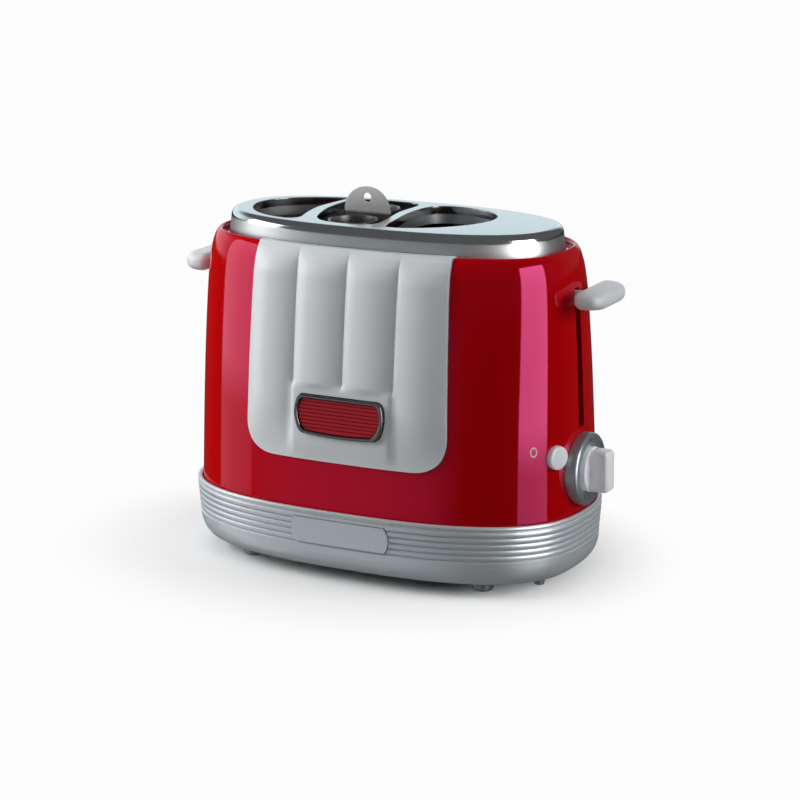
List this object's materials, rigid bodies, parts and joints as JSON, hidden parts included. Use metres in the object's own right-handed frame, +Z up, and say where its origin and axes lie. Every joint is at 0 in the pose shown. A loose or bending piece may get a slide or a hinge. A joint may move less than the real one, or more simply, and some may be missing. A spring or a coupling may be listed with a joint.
{
  "type": "hot dog maker",
  "caption": "Countertop hot dog toaster: red housing on a ribbed base, steel cover with bun openings and lift-out sausage cage, lever carriage, turn timer and crumb tray.",
  "frame": {"origin": "on the floor under the middle of the object", "axes": "+X towards the timer end, -Y towards the white front panel, +Z up"},
  "size_m": [0.3226, 0.1708, 0.2571],
  "materials": {
    "base_silver": "satin silver paint",
    "plate_silver": "satin",
    "underside_black": "matte",
    "foot_grey": "satin",
    "screw_zinc": "zinc plated",
    "housing_red": "high gloss",
    "panel_white": "gloss",
    "badge_chrome": "polished",
    "badge_red": "gloss",
    "cover_steel": "brushed",
    "chassis_steel": "plain sheet",
    "card_mica": "matt mica",
    "winding_wire": "oxidised",
    "bright_wire": "bright",
    "rack_steel": "satin",
    "cage_steel": "satin",
    "lever_white": "gloss",
    "knob_white": "gloss",
    "button_white": "gloss",
    "bezel_silver": "satin silver paint",
    "black_plastic": "matte"
  },
  "bodies": {
    "housing": {"base_shell": "base_silver", "name_plate": "plate_silver", "base_plate": "underside_black", "foot_front_left": "foot_grey", "foot_front_right": "foot_grey", "foot_rear_left": "foot_grey", "foot_rear_right": "foot_grey", "cord_post_left": "foot_grey", "cord_post_right": "foot_grey", "base_screw_1": "screw_zinc", "base_screw_2": "screw_zinc", "base_screw_3": "screw_zinc", "base_screw_4": "screw_zinc", "housing_shell": "housing_red", "front_panel": "panel_white", "badge_frame": "badge_chrome", "badge_plate": "badge_red", "top_cover": "cover_steel", "chassis_floor": "chassis_steel", "end_plate_left": "chassis_steel", "end_plate_right": "chassis_steel", "card_rail_front": "chassis_steel", "card_rail_rear": "chassis_steel", "reflector_front": "chassis_steel", "reflector_rear": "chassis_steel", "control_bracket": "chassis_steel", "heater_card_left": "card_mica", "heater_card_right": "card_mica", "heater_winding_left": "winding_wire", "heater_winding_right": "winding_wire", "wire_guard_left_outer": "bright_wire", "wire_guard_left_inner": "bright_wire", "wire_guard_right_outer": "bright_wire", "wire_guard_right_inner": "bright_wire", "guide_rod_left": "bright_wire", "guide_rod_right": "bright_wire", "lift_spring_left": "bright_wire", "lift_spring_right": "bright_wire", "timer_bezel": "bezel_silver", "timer_unit": "black_plastic", "cancel_switch": "black_plastic", "hold_magnet": "black_plastic"},
    "carriage": {"lift_frame": "chassis_steel", "carriage_left": "chassis_steel", "carriage_right": "chassis_steel", "bun_rack_left": "rack_steel", "sausage_rack": "rack_steel", "bun_rack_right": "rack_steel", "lever_paddle_left": "lever_white", "lever_paddle_right": "lever_white"},
    "cage": {"sausage_cage": "cage_steel"},
    "timer": {"timer_knob": "knob_white", "timer_shaft": "bright_wire"},
    "button": {"cancel_button": "button_white"},
    "tray": {"crumb_tray": "base_silver"}
  },
  "joints": [
    {"name": "carriage_slide", "type": "slide", "parent": "housing", "child": "carriage", "axis": [0, 0, -1], "range_m": [0, 0.081], "stiffness_N_per_m": 60, "springref_m": -0.12, "deforming": ["lift_spring_left", "lift_spring_right"]},
    {"name": "cage_lift", "type": "slide", "parent": "carriage", "child": "cage", "axis": [0, 0, 1], "range_m": [0, 0.12]},
    {"name": "timer_turn", "type": "hinge", "parent": "housing", "child": "timer", "pos_m": [0.15, 0, 0.079], "axis": [1, 0, 0], "range_deg": [-270, 0]},
    {"name": "button_press", "type": "slide", "parent": "housing", "child": "button", "axis": [-0.9301, 0.3672, 0], "range_m": [0, 0.0025], "stiffness_N_per_m": 500, "springref_m": -0.001},
    {"name": "tray_slide", "type": "slide", "parent": "housing", "child": "tray", "axis": [0, 1, 0], "range_m": [0, 0.12]}
  ]
}
